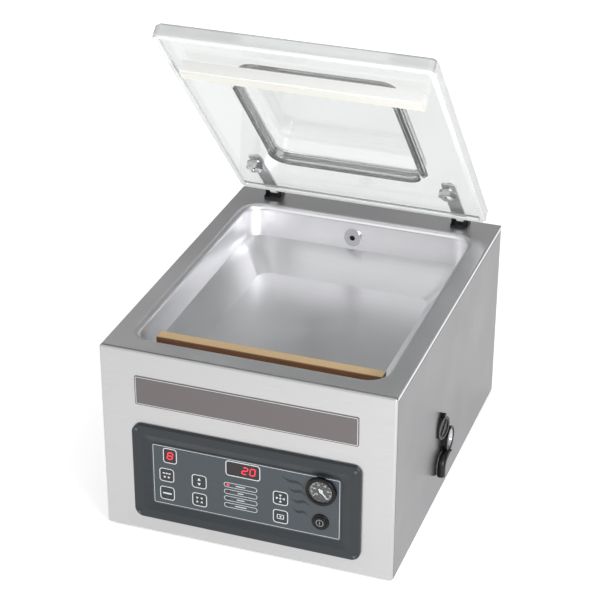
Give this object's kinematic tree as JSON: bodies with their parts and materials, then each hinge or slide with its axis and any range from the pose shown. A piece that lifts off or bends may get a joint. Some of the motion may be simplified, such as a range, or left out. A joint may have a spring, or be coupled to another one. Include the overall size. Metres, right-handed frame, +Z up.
{
  "type": "vacuum packing machine",
  "caption": "Tabletop chamber vacuum packing machine: brushed steel casing, clear domed lid on rear hinges, drawn chamber with seal bar, recessed control panel with gauge.",
  "frame": {"origin": "on the table under the middle of the casing", "axes": "+X to the operator's right, -Y out of the control panel towards the operator, +Z up; the lid is open at rest"},
  "size_m": [0.4635, 0.588, 0.7335],
  "materials": {
    "steel_sheet": "brushed stainless sheet",
    "drawn_steel": "satin drawn stainless sheet",
    "bright_steel": "polished",
    "foot_rubber": "matt",
    "dark_plastic": "fine grained moulding",
    "black_plastic": "satin moulding",
    "overlay_film": "satin printed film",
    "key_film": "printed film",
    "label_film": "printed plate, bare",
    "display_window": "dark window with red figures",
    "led_red": "tinted lens",
    "board_laminate": "lacquered laminate",
    "dial_print": "printed dial",
    "needle_paint": "white",
    "clear_glass": "clear",
    "acrylic": "clear grey",
    "gasket_rubber": "satin",
    "white_plastic": "satin",
    "silicone": "satin",
    "ptfe_cloth": "woven coated cloth",
    "phenolic": "laminated board",
    "heater_metal": "bare strip",
    "cylinder_metal": "anodised",
    "brass_fitting": "turned",
    "hose_rubber": "satin",
    "pump_casting": "cast",
    "motor_paint": "painted finned housing",
    "fan_plastic": "moulded",
    "core_steel": "lacquered laminations",
    "spring_steel": "oiled wire"
  },
  "bodies": {
    "casing": {"front_panel": "steel_sheet", "left_side_panel": "steel_sheet", "right_side_panel": "steel_sheet", "rear_panel": "steel_sheet", "base_plate": "steel_sheet", "feet": "foot_rubber", "casing_screws": "bright_steel", "chamber_deck": "drawn_steel", "label_plate": "label_film", "control_bezel": "dark_plastic", "membrane_overlay": "overlay_film", "bezel_screws": "bright_steel", "program_display": "display_window", "value_display": "display_window", "led_lenses": "led_red", "control_board": "board_laminate", "gauge_body": "black_plastic", "gauge_dial": "dial_print", "gauge_bezel": "black_plastic", "gauge_lens": "clear_glass", "power_switch": "black_plastic", "lift_cylinders": "cylinder_metal", "suction_port": "bright_steel", "port_elbow": "brass_fitting", "vacuum_hose": "hose_rubber", "hinge_blocks": "black_plastic", "hinge_pins": "bright_steel", "hinge_springs": "spring_steel", "vacuum_pump": "pump_casting", "pump_motor": "motor_paint", "fan_cover": "core_steel", "oil_sight_glass": "clear_glass", "oil_filler_cap": "black_plastic", "pump_mounts": "foot_rubber", "transformer": "core_steel", "valve_block": "cylinder_metal", "solenoid_coils": "black_plastic", "inlet_cup": "bright_steel", "inlet_cap": "black_plastic", "inlet_boot": "black_plastic"},
    "lid": {"lid_shell": "acrylic", "lid_gasket": "gasket_rubber", "counter_bar_holder": "white_plastic", "counter_bar_silicone": "silicone", "lid_bolts": "bright_steel", "lid_cap_nuts": "bright_steel", "hinge_straps": "bright_steel"},
    "seal_bar": {"seal_bar_body": "phenolic", "heater_strips": "heater_metal", "ptfe_tape": "ptfe_cloth", "seal_bar_plungers": "bright_steel"},
    "key_1": {"key_1": "key_film"},
    "key_2": {"key_2": "key_film"},
    "key_3": {"key_3": "key_film"},
    "key_4": {"key_4": "key_film"},
    "key_5": {"key_5": "key_film"},
    "key_6": {"key_6": "key_film"},
    "power_button": {"power_button": "black_plastic"},
    "gauge_needle": {"gauge_needle": "needle_paint"},
    "motor_fan": {"motor_fan": "fan_plastic"}
  },
  "joints": [
    {"name": "lid_hinge", "type": "hinge", "parent": "casing", "child": "lid", "pos_m": [0, 0.27, 0.328], "axis": [1, 0, 0], "range_deg": [0, 48], "stiffness_Nm_per_rad": 7, "springref_deg": -91.67},
    {"name": "seal_bar_lift", "type": "slide", "parent": "casing", "child": "seal_bar", "axis": [0, 0, 1], "range_m": [0, 0.008]},
    {"name": "key_1_press", "type": "slide", "parent": "casing", "child": "key_1", "axis": [0, 1, 0], "range_m": [0, 0.0004], "stiffness_N_per_m": 2500, "springref_m": -0.0002},
    {"name": "key_2_press", "type": "slide", "parent": "casing", "child": "key_2", "axis": [0, 1, 0], "range_m": [0, 0.0004], "stiffness_N_per_m": 2500, "springref_m": -0.0002},
    {"name": "key_3_press", "type": "slide", "parent": "casing", "child": "key_3", "axis": [0, 1, 0], "range_m": [0, 0.0004], "stiffness_N_per_m": 2500, "springref_m": -0.0002},
    {"name": "key_4_press", "type": "slide", "parent": "casing", "child": "key_4", "axis": [0, 1, 0], "range_m": [0, 0.0004], "stiffness_N_per_m": 2500, "springref_m": -0.0002},
    {"name": "key_5_press", "type": "slide", "parent": "casing", "child": "key_5", "axis": [0, 1, 0], "range_m": [0, 0.0004], "stiffness_N_per_m": 2500, "springref_m": -0.0002},
    {"name": "key_6_press", "type": "slide", "parent": "casing", "child": "key_6", "axis": [0, 1, 0], "range_m": [0, 0.0004], "stiffness_N_per_m": 2500, "springref_m": -0.0002},
    {"name": "power_button_press", "type": "slide", "parent": "casing", "child": "power_button", "axis": [0, 1, 0], "range_m": [0, 0.003], "stiffness_N_per_m": 1000, "springref_m": -0.001},
    {"name": "gauge_needle_turn", "type": "hinge", "parent": "casing", "child": "gauge_needle", "pos_m": [0.117, -0.2944, 0.139], "axis": [0, -1, 0], "range_deg": [0, 270], "stiffness_Nm_per_rad": 0.0002, "springref_deg": -17.19},
    {"name": "motor_spin", "type": "hinge", "parent": "casing", "child": "motor_fan", "pos_m": [-0.004, 0.06, 0.105], "axis": [1, 0, 0], "continuous": true}
  ]
}
